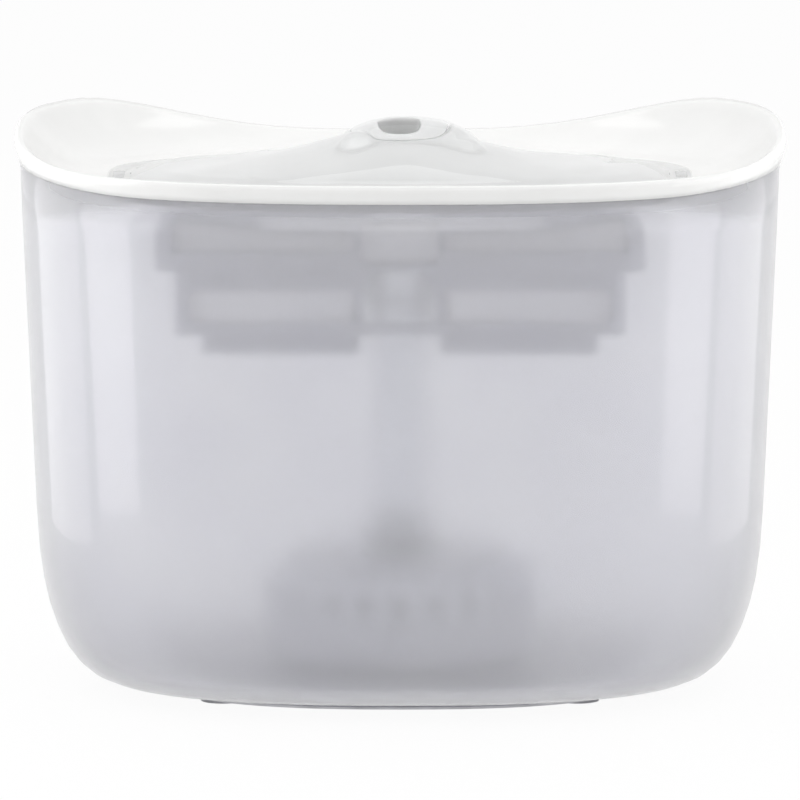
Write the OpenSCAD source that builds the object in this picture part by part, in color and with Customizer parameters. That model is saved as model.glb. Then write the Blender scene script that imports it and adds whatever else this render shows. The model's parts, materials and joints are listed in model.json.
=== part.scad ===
// Pet water fountain: a frosted tank on a low drive base, a magnetically driven pump,
// a filter housing carried on the riser, and a saddle-rimmed drinking tray.
// Millimetres. +Z up, -Y is the front, the origin is on the table under the middle of the base.

/* [Tank] */
// Width of the tank at its top edge
tank_w = 191.8; // [184:0.2:206]
// Depth of the tank at its top edge
tank_d = 159.8; // [154:0.2:172]
// Height of the front top edge above the table
tank_edge_z = 131.4; // [131.4:0.2:150]
// Wall thickness
tank_wall = 2.4; // [2:0.1:2.8]
// Floor thickness
floor_t = 2.4; // [2:0.1:3]
// Draft of the walls in degrees
draft = 2.5; // [1.5:0.1:3]
// How far the bottom corner rounding reaches inwards
corner_w = 20; // [14:0.5:22]
// How far the bottom corner rounding reaches up
corner_h = 44; // [34:0.5:48]
// Squareness of the plan, 2 is an ellipse
plan_power = 2.5; // [2.3:0.05:2.8]
// How much higher the tank's edge is at the sides than at the front
edge_rise = 2.5; // [0:0.1:4]

/* [Tray] */
// Height of the white band at the front
band_h = 4.7; // [4:0.1:6]
// How far the band stands out over the tank
band_over = 1.6; // [1:0.1:2.5]
// How much higher the rim is at the rear corners than at the front
rim_rise = 7.4; // [4:0.1:10]
// How far the rim falls from the rear corners to the middle of the back
rim_drop = 11.3; // [8:0.1:12]
// Plastic thickness of the tray
tray_t = 2.2; // [1.8:0.1:2.4]
// Depth of the basin floor below the front rim
basin_down = 7.1; // [6.8:0.1:8]
// Depth of the raised table below the front rim
table_down = 5.6; // [5:0.1:6]
// Length of the raised table
table_w = 134; // [130:0.5:138]
// Depth of the raised table, front to back
table_d = 72; // [68:0.5:76]
// Height of the mound over the table
mound_h = 8.7; // [7.8:0.1:9.6]
// Width of the drain slots
drain_w = 3; // [2:0.1:4]
// Length of the drain slots
drain_l = 24; // [16:0.5:26]

/* [Riser and spout] */
// Outer diameter of the riser tube
riser_d = 14; // [13.4:0.1:14.4]
// Bore of the riser tube
riser_bore_d = 10.6; // [9:0.1:10.8]
// Diameter of the spout's outlet
outlet_d = 9.4; // [8:0.1:10.4]
// Wall of the spout's tube
spout_wall = 1.6; // [1.2:0.1:2]

/* [Filter] */
// Width of the upper part of the filter housing
housing_w = 122; // [120:0.5:130]
// Depth of the upper part of the filter housing
housing_d = 92; // [90:0.5:104]
// Width of the lower part, over both tubs
tubs_w = 112.2; // [110:0.2:116]
// Height of the upper part of the filter housing
housing_upper_h = 15.8; // [14.6:0.2:19]
// Depth of the tubs
tubs_d = 82; // [80:0.5:86]
// Height of the tubs
tubs_h = 16.5; // [13:0.5:18]
// Height of the lobes under the tubs
lobe_h = 5.5; // [4:0.5:7]
// Width of the channel between the tubs
channel_w = 17.4; // [17.4:0.2:20]
// Wall of the housing
housing_wall = 1.8; // [1.4:0.1:2]
// Wall of the cartridge
cartridge_wall = 1.2; // [1:0.1:1.5]

/* [Pump] */
// Outer diameter of the pump's skirt
pump_d = 69.2; // [68.6:0.2:74]
// Wall of the pump's mouldings
pump_wall = 2; // [1.6:0.1:2]
// Height of the pump cover's shoulder over its floor plate
cover_h = 13.4; // [12.6:0.2:15]
// Diameter of the impeller
impeller_d = 38; // [34:0.5:39]
// Diameter of the ceramic shaft
shaft_d = 2.5; // [2:0.1:3]
// Number of vanes on the impeller
vanes = 6; // [4:1:8]

/* [Drive base] */
// Width of the base plate
plate_w = 124; // [118:0.5:130]
// Depth of the base plate
plate_d = 100; // [94:0.5:104]
// Height of the rubber feet
foot_h = 0.6; // [0.4:0.1:1.2]
// Thickness of the steel bottom sheet
sheet_t = 0.8; // [0.6:0.1:1]
// Thickness of the plastic plate over it
plate_t = 1.1; // [1.1:0.1:1.5]
// Diameter of the drive puck in the middle
puck_d = 56; // [56:0.5:58]
// Height of the drive puck over the plate
puck_h = 11.4; // [11.4:0.1:13]

/* [Hidden] */
$fn = 64;

// Clearances and small steps shared by the pieces
seat_gap = 0.3;
fit_gap = 0.4;
nest_gap = 0.5;
run_gap = 0.05;
cut = 1;
ring_sides = 72;
corner_power = 2.5;
corner_step = 10;

// Heights, from the table up
sheet_z = foot_h;
plate_z = sheet_z + sheet_t;
plate_top = plate_z + plate_t;
tank_z = plate_top + seat_gap;
puck_top = plate_top + puck_h;
pocket_top = puck_top + nest_gap;
floor_z = tank_z + floor_t;
plinth_top = pocket_top + floor_t;

// Plan radii of the nested pocket and plinth
puck_r = puck_d / 2;
pocket_r = puck_r + nest_gap;
plinth_r = pocket_r + tank_wall;

// The saddle of the tank's edge and of the tray's rim
side_from = 35;
side_to = 85;
corner_from = 45;
corner_to = 112;
back_from = 122;
back_to = 175;
edge_drop = rim_drop + edge_rise - rim_rise;

function ease(t, lo, hi) = 0.5 - 0.5 * cos(180 * min(1, max(0, (t - lo) / (hi - lo))));
full_turn = 360;
half_turn = full_turn / 2;
function from_front(i) = let (t = i * full_turn / ring_sides) t > half_turn ? full_turn - t : t;
function edge_lift(i) = edge_rise * ease(from_front(i), side_from, side_to)
    - edge_drop * ease(from_front(i), back_from, back_to);
function rim_lift(i) = rim_rise * ease(from_front(i), corner_from, corner_to)
    - rim_drop * ease(from_front(i), back_from, back_to);
function signed_pow(v, p) = sign(v) * pow(abs(v), p);

// A ring is [half width, half depth, plan power, height, share of the edge's lift, share of the rim's]
function ring(hw, hd, power, z, edge = 0, rim = 0) = [hw, hd, power, z, edge, rim];
function ring_point(r, i) = let (t = i * 360 / ring_sides)
    [r[0] * signed_pow(sin(t), 2 / r[2]), -r[1] * signed_pow(cos(t), 2 / r[2]),
     r[3] + r[4] * edge_lift(i) + r[5] * rim_lift(i)];

// Skin through a list of rings that runs outwards below, up outside and inwards on top
module loft(rings, closed_loop = false) {
    n = ring_sides;
    count = len(rings);
    points = [for (r = rings) for (i = [0 : n - 1]) ring_point(r, i)];
    bands = closed_loop ? count : count - 1;
    sides = [for (k = [0 : bands - 1]) for (i = [0 : n - 1])
        let (low = k * n, up = ((k + 1) % count) * n, j = (i + 1) % n)
        each [[low + i, up + i, up + j], [low + i, up + j, low + j]]];
    caps = closed_loop ? [] : [[for (i = [0 : n - 1]) i], [for (i = [n - 1 : -1 : 0]) (count - 1) * n + i]];
    polyhedron(points = points, faces = concat(sides, caps), convexity = 8);
}

// Half width and half depth of the tank's outside at a height
function wall_in(z) = (tank_edge_z - z) * tan(draft);
function corner_in(z) = let (t = min(1, max(0, (tank_z + corner_h - z) / corner_h)))
    corner_w * (1 - pow(1 - pow(t, corner_power), 1 / corner_power));
function tank_hw(z) = tank_w / 2 - wall_in(z);
function tank_hd(z) = tank_d / 2 - wall_in(z);

// Rings of one corner rounding, from the flat bottom up, at a distance inside the outer skin
function corner_rings(inside, low, high) = [for (a = [90 : -corner_step : 0])
    let (z = low + (high - low) * (1 - pow(sin(a), 2 / corner_power)),
         off = inside + corner_w * (1 - pow(cos(a), 2 / corner_power)))
    ring(tank_hw(z) - off, tank_hd(z) - off, plan_power, z)];
function reversed(list) = [for (i = [len(list) - 1 : -1 : 0]) list[i]];

edge_round = 0.7;
pocket_lead = 1;
mid_wall_z = 90;
saddle_start = 10;
plinth_fillet = 1;
corner_top = tank_z + corner_h;

module tank() {
    hw = tank_w / 2;
    hd = tank_d / 2;
    low_edge = tank_edge_z - saddle_start;
    color("lavender")
    loft(concat(
        [ring(pocket_r, pocket_r, circle_power, pocket_top),
         ring(pocket_r, pocket_r, circle_power, tank_z + pocket_lead),
         ring(pocket_r + pocket_lead, pocket_r + pocket_lead, circle_power, tank_z)],
        corner_rings(0, tank_z, corner_top),
        [ring(tank_hw(mid_wall_z), tank_hd(mid_wall_z), plan_power, mid_wall_z),
         ring(tank_hw(low_edge), tank_hd(low_edge), plan_power, low_edge),
         ring(hw, hd, plan_power, tank_edge_z - edge_round, 1),
         ring(hw - edge_round, hd - edge_round, plan_power, tank_edge_z, 1),
         ring(hw - tank_wall + edge_round, hd - tank_wall + edge_round, plan_power, tank_edge_z, 1),
         ring(hw - tank_wall, hd - tank_wall, plan_power, tank_edge_z - edge_round, 1),
         ring(tank_hw(low_edge) - tank_wall, tank_hd(low_edge) - tank_wall, plan_power, low_edge),
         ring(tank_hw(mid_wall_z) - tank_wall, tank_hd(mid_wall_z) - tank_wall, plan_power, mid_wall_z)],
        reversed(corner_rings(tank_wall, floor_z, corner_top)),
        [ring(plinth_r + plinth_fillet, plinth_r + plinth_fillet, circle_power, floor_z),
         ring(plinth_r, plinth_r, circle_power, floor_z + plinth_fillet),
         ring(plinth_r, plinth_r, circle_power, plinth_top - plinth_fillet),
         ring(plinth_r - plinth_fillet, plinth_r - plinth_fillet, circle_power, plinth_top)]));
}

// Riser, spout and the heights above the filter
riser_r = riser_d / 2;
riser_bore_r = riser_bore_d / 2;
socket_r = riser_r + nest_gap;
spout_tube_r = socket_r + spout_wall;
spout_lip = 2.4;
spout_flange_r = spout_tube_r + spout_lip;
flange_t = 1.2;
crater_r = spout_flange_r + seat_gap;
crater_lip = 1.4;
mound_r = crater_r + crater_lip;
chamfer = 0.6;
circle_power = 2;

// The tray's heights
rim_z = tank_edge_z + band_h;
basin_z = rim_z - basin_down;
table_z = rim_z - table_down;
under_basin = basin_z - tray_t;
under_table = table_z - tray_t;
mound_top = table_z + mound_h;
crater_z = mound_top - flange_t;
shoulder_z = tank_edge_z + seat_gap;
skirt_h = 3.5;
skirt_t = 2;
basin_curve = 22;
basin_power = 2.4;
table_power = 2.8;
table_round = 3;
rim_root = 9;
mound_fall = 22.7;
mound_power = 1.15;
table_hw = table_w / 2;
table_hd = table_d / 2;
skirt_hw = tank_w / 2 - tank_wall - fit_gap;
skirt_hd = tank_d / 2 - tank_wall - fit_gap;
tab_w = 1.6;
tab_h = 5;
tab_root = 3;
tab_x = 73;
skirt_taper = 0.5;
table_foot = 2.6;
drain_pitch = 32;
drain_off = 1.9;
end_drain_l = 16;

// Mound over the table, and how its round rings turn into the table's oval
function mound(r) = mound_h * exp(-pow(max(0, r - mound_r) / mound_fall, mound_power));
function oval_hd(r) = let (limit = table_hd - table_round) r / pow(1 + pow(r / limit, 4), 1 / 4);
function oval_power(r) = circle_power
    + (table_power - circle_power) * ease(r, mound_r, table_hw - table_round);
function mound_ring(share, down = 0) = let (r = mound_r + share * (table_hw - 2 * table_round - mound_r))
    ring(r, oval_hd(r), oval_power(r), table_z + mound(r) - down);

// Basin wall: share 0 at the basin floor, 1 at the crest of the rim
function wall_ring(share) = let (off = basin_curve * (1 - share), rise = pow(share, basin_power))
    ring(tank_w / 2 - off, tank_d / 2 - off, plan_power, basin_z + rise * (rim_z - basin_z), 0, rise);
// Outer face of the band: share 0 at the tank's edge, 1 at the crest
function band_ring(share, out) = ring(tank_w / 2 + out, tank_d / 2 + out, plan_power,
    shoulder_z + share * (rim_z - shoulder_z), 1 - share, share);

module slot(l, w, h) {
    cube([l - w, w, h], center = true);
    for (x = [-1, 1]) translate([x * (l - w) / 2, 0, 0]) cylinder(d = w, h = h, center = true);
}

function skirt_y(x) = skirt_hd * pow(1 - pow(x / skirt_hw, plan_power), 1 / plan_power);

module tray_body() {
    // Shares of the way from the crater to the table's edge
    mound_steps = [0.02, 0.1, 0.17, 0.25, 0.35, 0.48, 0.64, 0.84, 1];
    under_steps = [0.02, 0.17, 0.35, 0.64, 1];
    // Side of the table as [outwards, share of its height]
    table_side = [[table_foot, 0], [1, 0.14], [-0.4, 0.67], [-2, 0.97]];
    // Outer face of the band as [share of its height, share of its overhang]
    band_side = [[0, 0.06], [0.3, 0.55], [0.55, 0.9], [0.75, 1], [0.92, 0.85], [1, 0.3]];
    basin_steps = [0.96, 0.91, 0.84, 0.75, 0.64, 0.5, 0.34, 0.16, 0];
    bore_r = spout_tube_r + seat_gap;
    loft(concat(
        [ring(bore_r, bore_r, circle_power, crater_z - tray_t)],
        [for (s = under_steps) mound_ring(s, tray_t)],
        [ring(table_hw - table_round, table_hd - table_round, table_power, under_table),
         ring(table_hw, table_hd, table_power, under_basin),
         ring(tank_w / 2 - rim_root, tank_d / 2 - rim_root, plan_power, under_basin),
         ring(skirt_hw - skirt_t, skirt_hd - skirt_t, plan_power, shoulder_z - skirt_h, 1),
         ring(skirt_hw - skirt_taper, skirt_hd - skirt_taper, plan_power, shoulder_z - skirt_h, 1),
         ring(skirt_hw, skirt_hd, plan_power, shoulder_z, 1)],
        [for (p = band_side) band_ring(p[0], p[1] * band_over)],
        [for (s = basin_steps) wall_ring(s)],
        [for (p = table_side)
            ring(table_hw + p[0], table_hd + p[0], table_power, basin_z + p[1] * (table_z - basin_z))],
        [for (s = reversed(mound_steps)) mound_ring(s)],
        [ring(mound_r, mound_r, circle_power, mound_top),
         ring(crater_r, crater_r, circle_power, mound_top),
         ring(crater_r, crater_r, circle_power, crater_z),
         ring(bore_r, bore_r, circle_power, crater_z)]),
        closed_loop = true);
}

module top_tray() {
    drain_y = table_hd + table_foot + drain_off + drain_w / 2;
    end_x = table_hw + table_foot + drain_w / 2 + run_gap;
    cut_h = 3 * tray_t;
    tab_y = skirt_y(tab_x + tab_w / 2) - fit_gap - seat_gap - tab_w / 2;
    color("white")
    difference() {
        tray_body();
        for (side = [-1, 1]) {
            for (k = [-1 : 1]) translate([k * drain_pitch, side * drain_y, basin_z - tray_t / 2])
                slot(drain_l, drain_w, cut_h);
            translate([side * end_x, 0, basin_z - tray_t / 2]) rotate(90) slot(end_drain_l, drain_w, cut_h);
        }
    }
    color("white")
    for (sx = [-1, 1], sy = [-1, 1])
        translate([sx * tab_x - tab_w / 2, sy * tab_y - tab_w / 2, shoulder_z - skirt_h - tab_h + tab_root])
            cube([tab_w, tab_w, tab_h]);
}

// Spout: a flanged nozzle in the tray whose tube slides over the top of the riser
spout_grip = 8.4;
spout_bottom = under_basin - spout_grip;
riser_top = under_basin - nest_gap - seat_gap;
throat_gap = 2;
throat_z = riser_top + throat_gap;
throat_h = 3;
seal_h = 1.8;
seal_depth = 0.6;
seal_z = riser_top - 2 * seal_h;

module spout() {
    color("gainsboro")
    rotate_extrude()
        polygon([[socket_r, spout_bottom], [spout_tube_r, spout_bottom], [spout_tube_r, crater_z],
                 [spout_flange_r, crater_z], [spout_flange_r, mound_top - chamfer / 2],
                 [spout_flange_r - chamfer, mound_top], [outlet_d / 2 + chamfer, mound_top],
                 [outlet_d / 2, mound_top - chamfer], [outlet_d / 2, throat_z + throat_h],
                 [riser_bore_r, throat_z], [socket_r, throat_z]]);
}

module spout_seal() {
    color("dimgray")
    translate([0, 0, seal_z + run_gap])
        difference() {
            cylinder(r = riser_r + seat_gap, h = seal_h - 2 * run_gap);
            translate([0, 0, -cut]) cylinder(r = riser_r - seal_depth + run_gap, h = seal_h + 2 * cut);
        }
}

// Riser: bell over the pump's outlet, long tube, and a collar that carries the filter housing
pump_plate_z = plinth_top + seat_gap;
pump_plate_t = 1.8;
pump_floor = pump_plate_z + pump_plate_t;
cover_z = pump_floor + seat_gap;
cover_top = cover_z + cover_h;
stub_h = 8;
stub_r = riser_r - nest_gap;
stub_bore_r = riser_bore_r - seat_gap;
stub_top = cover_top + stub_h;
gasket_t = 1.2;
gasket_h = 3;
gasket_up = 2;
bell_r = stub_r + gasket_t;
bell_wall = 1.8;
bell_round = 1;
bell_bottom = cover_top + seat_gap;
bell_top = stub_top + 1.5 * bell_round;
collar_r = channel_w / 2 - nest_gap;
collar_h = 3;
collar_cone = 1.5;
housing_top = under_basin - fit_gap;
housing_step_z = housing_top - housing_upper_h;
collar_z = housing_step_z - seat_gap - collar_h;

module riser_tube() {
    color("whitesmoke")
    rotate_extrude()
        polygon([[bell_r, bell_bottom], [bell_r + bell_wall, bell_bottom],
                 [bell_r + bell_wall, bell_top - bell_round], [bell_r + bell_wall - bell_round, bell_top],
                 [riser_r, bell_top + bell_round], [riser_r, collar_z - collar_cone],
                 [collar_r, collar_z], [collar_r, collar_z + collar_h], [riser_r, collar_z + collar_h],
                 [riser_r, seal_z], [riser_r - seal_depth, seal_z], [riser_r - seal_depth, seal_z + seal_h],
                 [riser_r, seal_z + seal_h], [riser_r, riser_top - chamfer], [riser_r - chamfer, riser_top],
                 [riser_bore_r, riser_top], [riser_bore_r, stub_top + seat_gap],
                 [bell_r, stub_top + seat_gap]]);
}

module outlet_gasket() {
    color("dimgray")
    translate([0, 0, bell_bottom + gasket_up])
        difference() {
            cylinder(r = bell_r - run_gap, h = gasket_h);
            translate([0, 0, -cut]) cylinder(r = stub_r + run_gap, h = gasket_h + 2 * cut);
        }
}

// Filter housing: a wide open box over two tubs with lobes, and a channel between the tubs
// whose front and back are closed by aprons with an arch
housing_floor = housing_step_z + housing_wall;
tub_z = housing_step_z - tubs_h;
lobe_z = tub_z - lobe_h;
tub_w = (tubs_w - channel_w) / 2;
tub_x = (tubs_w + channel_w) / 4;
lobe_in = 7.7;
lobe_shift = 2.6;
lobe_set_in = 6;
lobe_w = tub_w - lobe_in;
lobe_x = tub_x - lobe_shift;
lobe_d = tubs_d - 2 * lobe_set_in;
lobe_slot_l = lobe_w - 5 * housing_wall;
hub_wall = 2.9;
hub_r = riser_r + fit_gap + hub_wall;
hub_top = spout_bottom - fit_gap - seat_gap;
hub_h = hub_top - housing_floor;
housing_round = 6;
tub_round = 2 * housing_wall;
window_w = 45;
window_low = 4.9;
window_high = 0.9;
window_side = 4.5;
window_h = housing_upper_h - window_low - window_high;
window_x = housing_w / 2 - window_w / 2 - window_side;
window_z = housing_step_z + window_low;
window_round = 2;
hub_window_w = 19;
hub_window_h = 8.6;
long_window_w = tubs_w - 2 * tub_round;
long_window_low = 2.8;
long_window_h = 8.4;
long_window_z = tub_z + long_window_low;
arch_z = long_window_z + long_window_h;
arch_mid = 7.2;
arch_top = 5.3;
arch_rise = 0.45;
tub_slots = 7;
tub_slot_w = 2;
pod_slot_w = 1.4;

module rounded_block(w, d, h, r) {
    translate([-w / 2 + r, -d / 2, 0]) cube([w - 2 * r, d, h]);
    translate([-w / 2, -d / 2 + r, 0]) cube([w, d - 2 * r, h]);
    for (x = [-1, 1], y = [-1, 1])
        translate([x * (w / 2 - r), y * (d / 2 - r), 0]) cylinder(r = r, h = h);
}

// Arch from the top of the long window to the floor of the upper part, from front to back
module apron_arch() {
    foot = channel_w / 2;
    mid_z = arch_z + arch_rise * (housing_step_z - arch_z);
    rotate([90, 0, 0]) translate([0, 0, -tubs_d / 2 - cut])
        linear_extrude(tubs_d + 2 * cut)
            polygon([[-foot, arch_z - cut], [foot, arch_z - cut], [foot, arch_z], [arch_mid, mid_z],
                     [arch_top, housing_step_z], [-arch_top, housing_step_z], [-arch_mid, mid_z],
                     [-foot, arch_z]]);
}

// Window with round corners through a wall that faces the front or the back
module window(w, h, depth) {
    rotate([90, 0, 0]) translate([0, 0, -depth / 2]) rounded_block(w, h, depth, window_round);
}

module filter_housing() {
    inner_w = housing_w - 2 * housing_wall;
    inner_d = housing_d - 2 * housing_wall;
    tub_in_w = tub_w - 2 * housing_wall;
    tub_in_d = tubs_d - 2 * housing_wall;
    color("silver")
    difference() {
        union() {
            translate([0, 0, housing_step_z])
                rounded_block(housing_w, housing_d, housing_top - housing_step_z, housing_round);
            translate([0, 0, tub_z]) rounded_block(tubs_w, tubs_d, tubs_h + cut / 2, tub_round);
            for (side = [-1, 1])
                translate([side * lobe_x, 0, lobe_z])
                    rounded_block(lobe_w, lobe_d, lobe_h + cut / 2, tub_round);
        }
        translate([-channel_w / 2, -tub_in_d / 2, tub_z - cut]) cube([channel_w, tub_in_d, tubs_h + cut]);
        apron_arch();
        difference() {
            translate([0, 0, housing_floor])
                rounded_block(inner_w, inner_d, housing_top, housing_round - housing_wall);
            translate([0, 0, housing_floor - cut]) cylinder(r = hub_r, h = hub_h + cut);
        }
        for (side = [-1, 1]) {
            translate([side * tub_x, 0, tub_z + housing_wall])
                rounded_block(tub_in_w, tub_in_d, tubs_h + cut, tub_round - housing_wall);
            translate([side * lobe_x, 0, lobe_z + housing_wall])
                rounded_block(lobe_w - 2 * housing_wall, lobe_d - 2 * housing_wall, lobe_h + cut,
                    tub_round - housing_wall);
            for (k = [0 : tub_slots - 1])
                translate([side * lobe_x, (k - (tub_slots - 1) / 2) * lobe_d / (tub_slots + 1), lobe_z])
                    slot(lobe_slot_l, tub_slot_w, 3 * housing_wall);
            for (face = [-1, 1])
                translate([side * window_x, face * housing_d / 2, window_z + window_h / 2])
                    window(window_w, window_h, 6 * housing_wall);
        }
        for (face = [-1, 1]) {
            translate([0, face * housing_d / 2, housing_floor + hub_window_h / 2])
                window(hub_window_w, hub_window_h, 6 * housing_wall);
            translate([0, face * tubs_d / 2, long_window_z + long_window_h / 2])
                window(long_window_w, long_window_h, 2 * housing_wall + nest_gap);
        }
        translate([0, 0, housing_step_z - cut]) cylinder(r = riser_r + fit_gap, h = hub_h + 4 * cut);
    }
}

// Filter cartridge: two pods under one flange, with an upstand that holds the felt and the lid
flange_z = housing_floor + seat_gap;
flange_h = 1.4;
cart_w = housing_w - 2 * housing_wall - 2 * nest_gap;
cart_d = housing_d - 2 * housing_wall - 2 * nest_gap;
pod_w = tub_w - 2 * housing_wall - 2 * nest_gap;
pod_d = tubs_d - 2 * housing_wall - 2 * nest_gap;
pod_z = tub_z + housing_wall + seat_gap;
upstand_h = 4.4;
upstand_top = flange_z + flange_h + upstand_h;
cart_hole_r = hub_r + nest_gap;
pod_in_w = pod_w - 2 * cartridge_wall;
pod_in_d = pod_d - 2 * cartridge_wall;
cart_round = housing_round - housing_wall - nest_gap;
pod_round = 2.2;

module cartridge_shell() {
    color("ghostwhite")
    difference() {
        union() {
            translate([0, 0, flange_z]) rounded_block(cart_w, cart_d, upstand_top - flange_z, cart_round);
            for (side = [-1, 1])
                translate([side * tub_x, 0, pod_z])
                    rounded_block(pod_w, pod_d, flange_z - pod_z + cut / 2, pod_round);
        }
        translate([0, 0, flange_z + flange_h])
            rounded_block(cart_w - 2 * cartridge_wall, cart_d - 2 * cartridge_wall, upstand_top,
                cart_round - cartridge_wall);
        for (side = [-1, 1]) {
            translate([side * tub_x, 0, pod_z + cartridge_wall])
                rounded_block(pod_in_w, pod_in_d, upstand_top, pod_round - cartridge_wall);
            for (k = [0 : tub_slots - 1])
                translate([side * tub_x, (k - (tub_slots - 1) / 2) * pod_d / (tub_slots + 1), pod_z])
                    slot(pod_in_w - 3 * cartridge_wall, pod_slot_w, 4 * cartridge_wall);
        }
        translate([0, 0, flange_z - cut]) cylinder(r = cart_hole_r, h = flange_h + 2 * cut);
    }
}

lid_z = upstand_top + seat_gap;
lid_t = 1.4;
lid_rows = 9;
lid_tab_w = 16;
lid_tab_t = 1.6;
lid_tab_h = 2.6;
lid_tab_off = 7;
lid_margin = 8;
lid_rim_t = 1.2;
lid_rim_h = 4.8;

module cartridge_lid() {
    slot_l = cart_w / 2 - cart_hole_r - lid_margin;
    slot_x = (cart_w / 2 + cart_hole_r) / 2;
    color("white")
    difference() {
        translate([0, 0, lid_z]) rounded_block(cart_w, cart_d, lid_t + lid_rim_h, cart_round);
        translate([0, 0, lid_z + lid_t])
            rounded_block(cart_w - 2 * lid_rim_t, cart_d - 2 * lid_rim_t, lid_rim_h + cut,
                cart_round - lid_rim_t);
        for (side = [-1, 1], k = [0 : lid_rows - 1])
            translate([side * slot_x, (k - (lid_rows - 1) / 2) * cart_d / (lid_rows + 1), lid_z + lid_t / 2])
                slot(slot_l, tub_slot_w, 3 * lid_t);
        translate([0, 0, lid_z - cut]) cylinder(r = cart_hole_r, h = lid_t + 2 * cut);
    }
    for (side = [-1, 1])
        color("white")
        translate([-lid_tab_w / 2, side * (cart_hole_r + lid_tab_off) - lid_tab_t / 2, lid_z + lid_t])
            cube([lid_tab_w, lid_tab_t, lid_tab_h]);
}

felt_z = flange_z + flange_h + seat_gap;

module felt_pad() {
    felt_in = cartridge_wall + seat_gap;
    color("seashell")
    difference() {
        translate([0, 0, felt_z])
            rounded_block(cart_w - 2 * felt_in, cart_d - 2 * felt_in, lid_z - seat_gap - felt_z,
                cart_round - cartridge_wall);
        translate([0, 0, felt_z - cut]) cylinder(r = cart_hole_r + nest_gap, h = upstand_top);
    }
}

media_low = pod_z + cartridge_wall + seat_gap;
resin_share = 0.42;
media_split = media_low + (felt_z - media_low) * resin_share;

module media_block(z0, z1) {
    for (side = [-1, 1])
        translate([side * tub_x, 0, z0])
            rounded_block(pod_in_w - 2 * seat_gap, pod_in_d - 2 * seat_gap, z1 - z0,
                pod_round - cartridge_wall);
}

module carbon_granules() {
    color("dimgray") media_block(media_split + seat_gap, felt_z - seat_gap);
}

module resin_granules() {
    color("goldenrod") media_block(media_low, media_split);
}

// Pump: floor plate with a skirt round the plinth, and a cover with the chamber and the outlet
pump_r = pump_d / 2;
bumper_h = 1.2;
bumper_r = 1.1;
bumpers = 4;
skirt_low = floor_z + seat_gap + bumper_h + run_gap;
boss_r = 3.4;
boss_h = 0.6;
shaft_r = shaft_d / 2;
bush_t = 1.3;
bush_r = shaft_r + bush_t;
bush_h = 1.2;
boss_out = boss_r + bush_h;
lower_bush_z = pump_floor + boss_h - bush_h;

module pump_housing() {
    color("slategray")
    difference() {
        union() {
            translate([0, 0, skirt_low]) cylinder(r = pump_r, h = pump_floor - skirt_low);
            translate([0, 0, pump_plate_z]) cylinder(r = boss_out, h = pump_plate_t + boss_h);
        }
        translate([0, 0, skirt_low - cut])
            cylinder(r = pump_r - pump_wall, h = pump_plate_z - skirt_low + cut);
        translate([0, 0, lower_bush_z]) cylinder(r = bush_r + run_gap, h = bush_h + cut);
    }
}

module lower_bush() {
    color("black")
    difference() {
        translate([0, 0, lower_bush_z]) cylinder(r = bush_r, h = bush_h);
        translate([0, 0, lower_bush_z + bush_floor]) cylinder(r = shaft_r + run_gap, h = bush_h);
    }
}

// Chamber heights of the rotor
magnet_z = pump_floor + boss_h + nest_gap;
magnet_h = 3.4;
magnet_in = 0.8;
magnet_r = impeller_d / 2 - magnet_in;
disc_z = magnet_z + magnet_h + run_gap;
disc_t = 1;
vane_h = 2.4;
vane_t = 1.2;
vane_boss_r = shaft_r + 1.6;
hub_out = 5.4;
ceiling_z = cover_top - pump_wall;
chamber_gap = 1.4;
chamber_r = impeller_d / 2 + chamber_gap;
ports = 3;
port_w = 9;
port_h = 5.3;
upper_bush_z = ceiling_z + fit_gap;
bush_floor = 0.4;
shaft_low = lower_bush_z + bush_floor + run_gap;
shaft_top = upper_bush_z + bush_h - bush_floor - run_gap;
intake_slots = 24;
intake_w = 3.4;
intake_h = 5.4;
intake_low = 1.4;
dome_round = 9;
spider_w = 2;
spider_wall = 1.1;
spider_cap = 0.8;

// Upright can with a rounded shoulder
module rounded_can(r, low, top, shoulder) {
    rotate_extrude()
        intersection() {
            translate([0, low]) square([r, top - low]);
            union() {
                translate([0, low]) square([r - shoulder, top - low]);
                translate([0, low]) square([r, top - shoulder - low]);
                translate([r - shoulder, top - shoulder]) circle(r = shoulder);
            }
        }
}

module pump_cover() {
    color("lightslategray")
    difference() {
        union() {
            difference() {
                rounded_can(pump_r, cover_z, cover_top, dome_round);
                rounded_can(pump_r - pump_wall, cover_z - cut, ceiling_z, dome_round - pump_wall);
                for (k = [0 : intake_slots - 1])
                    rotate(k * 360 / intake_slots)
                        translate([pump_r, 0, cover_z + intake_low + intake_h / 2])
                            cube([4 * pump_wall, intake_w, intake_h], center = true);
            }
            difference() {
                translate([0, 0, cover_z]) cylinder(r = chamber_r + pump_wall, h = cover_h - pump_wall / 2);
                translate([0, 0, cover_z - cut]) cylinder(r = chamber_r, h = ceiling_z - cover_z + cut);
                for (k = [0 : ports - 1])
                    rotate((k + 0.25) * 360 / ports)
                        translate([chamber_r, 0, cover_z + port_h / 2 - cut / 2])
                            cube([4 * pump_wall, port_w, port_h + cut], center = true);
            }
            translate([0, 0, ceiling_z]) cylinder(r = stub_r, h = stub_top - ceiling_z);
        }
        translate([0, 0, ceiling_z - cut]) cylinder(r = stub_bore_r, h = stub_top - ceiling_z + 2 * cut);
    }
    color("lightslategray")
    translate([0, 0, upper_bush_z])
        difference() {
            union() {
                cylinder(r = bush_r + spider_wall, h = bush_h + run_gap + spider_cap);
                for (k = [0 : ports - 1])
                    rotate(k * 360 / ports) translate([0, -spider_w / 2, 0])
                        cube([(stub_bore_r + stub_r) / 2, spider_w, bush_h]);
            }
            translate([0, 0, -cut]) cylinder(r = bush_r + run_gap, h = bush_h + run_gap + cut);
        }
}

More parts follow.
